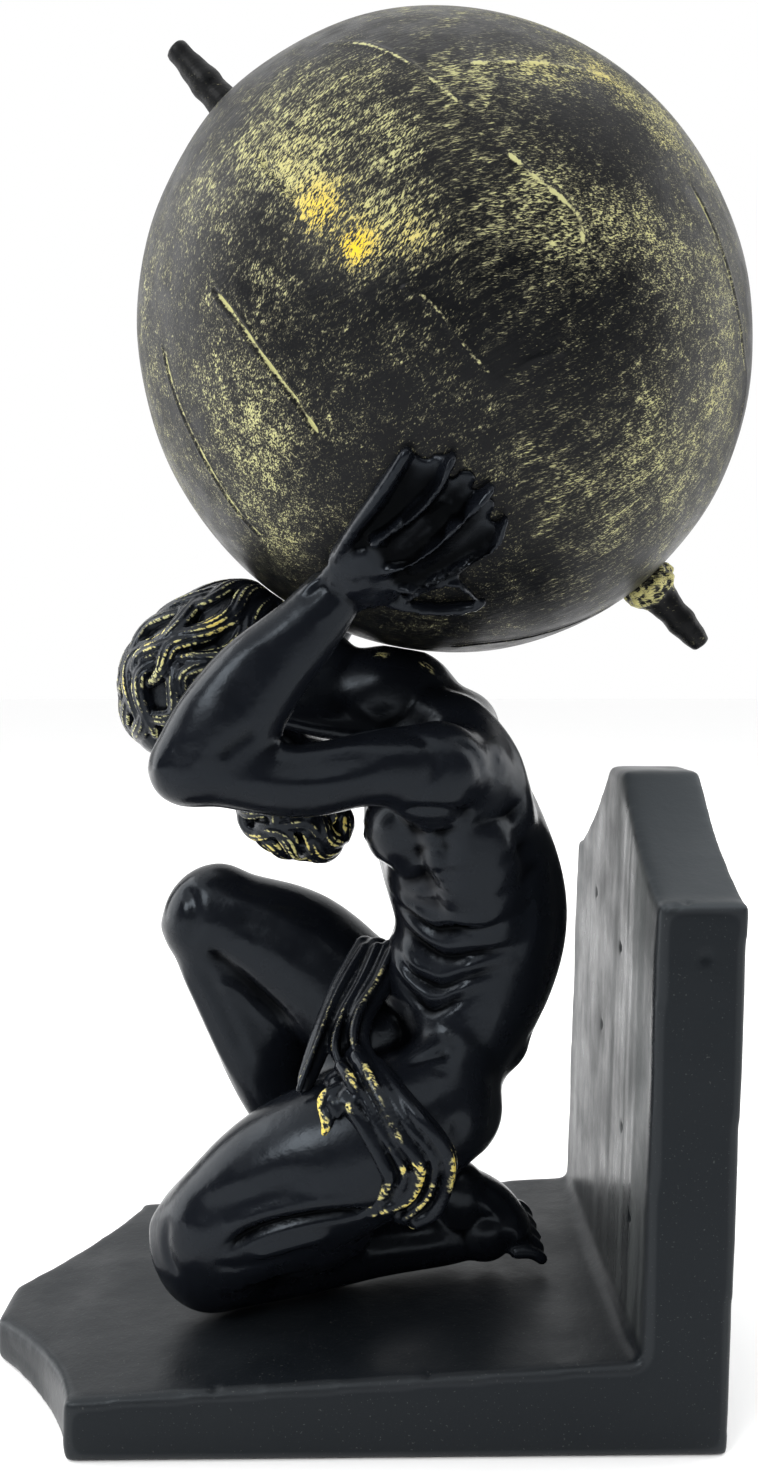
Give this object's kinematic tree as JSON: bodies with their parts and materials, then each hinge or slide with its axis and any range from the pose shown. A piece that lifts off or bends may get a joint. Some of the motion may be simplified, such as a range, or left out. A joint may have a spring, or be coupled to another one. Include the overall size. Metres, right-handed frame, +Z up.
{
  "type": "atlas bookend statue",
  "caption": "Bookend statue: a bearded man on one knee bears a large globe on his bent back and hands, on an L-shaped plinth with an upright slab.",
  "frame": {"origin": "centre of the bounding box, on the ground", "axes": "+Z up; the figure faces -X and the plinth's upright slab is on the +X side; the reference picture looks along +Y"},
  "size_m": [0.1201, 0.0942, 0.2104],
  "materials": {
    "plinth_black": "satin charcoal paint on cast polyresin",
    "figure_gloss_black": "gloss black paint on cast polyresin, gold dry-brushed on the hair, beard and cloth",
    "globe_gold_brushed_black": "black paint on cast polyresin with speckled gold dry brushing"
  },
  "bodies": {
    "root": {"bookend_base": "plinth_black", "atlas_figure": "figure_gloss_black", "globe": "globe_gold_brushed_black"}
  },
  "joints": []
}
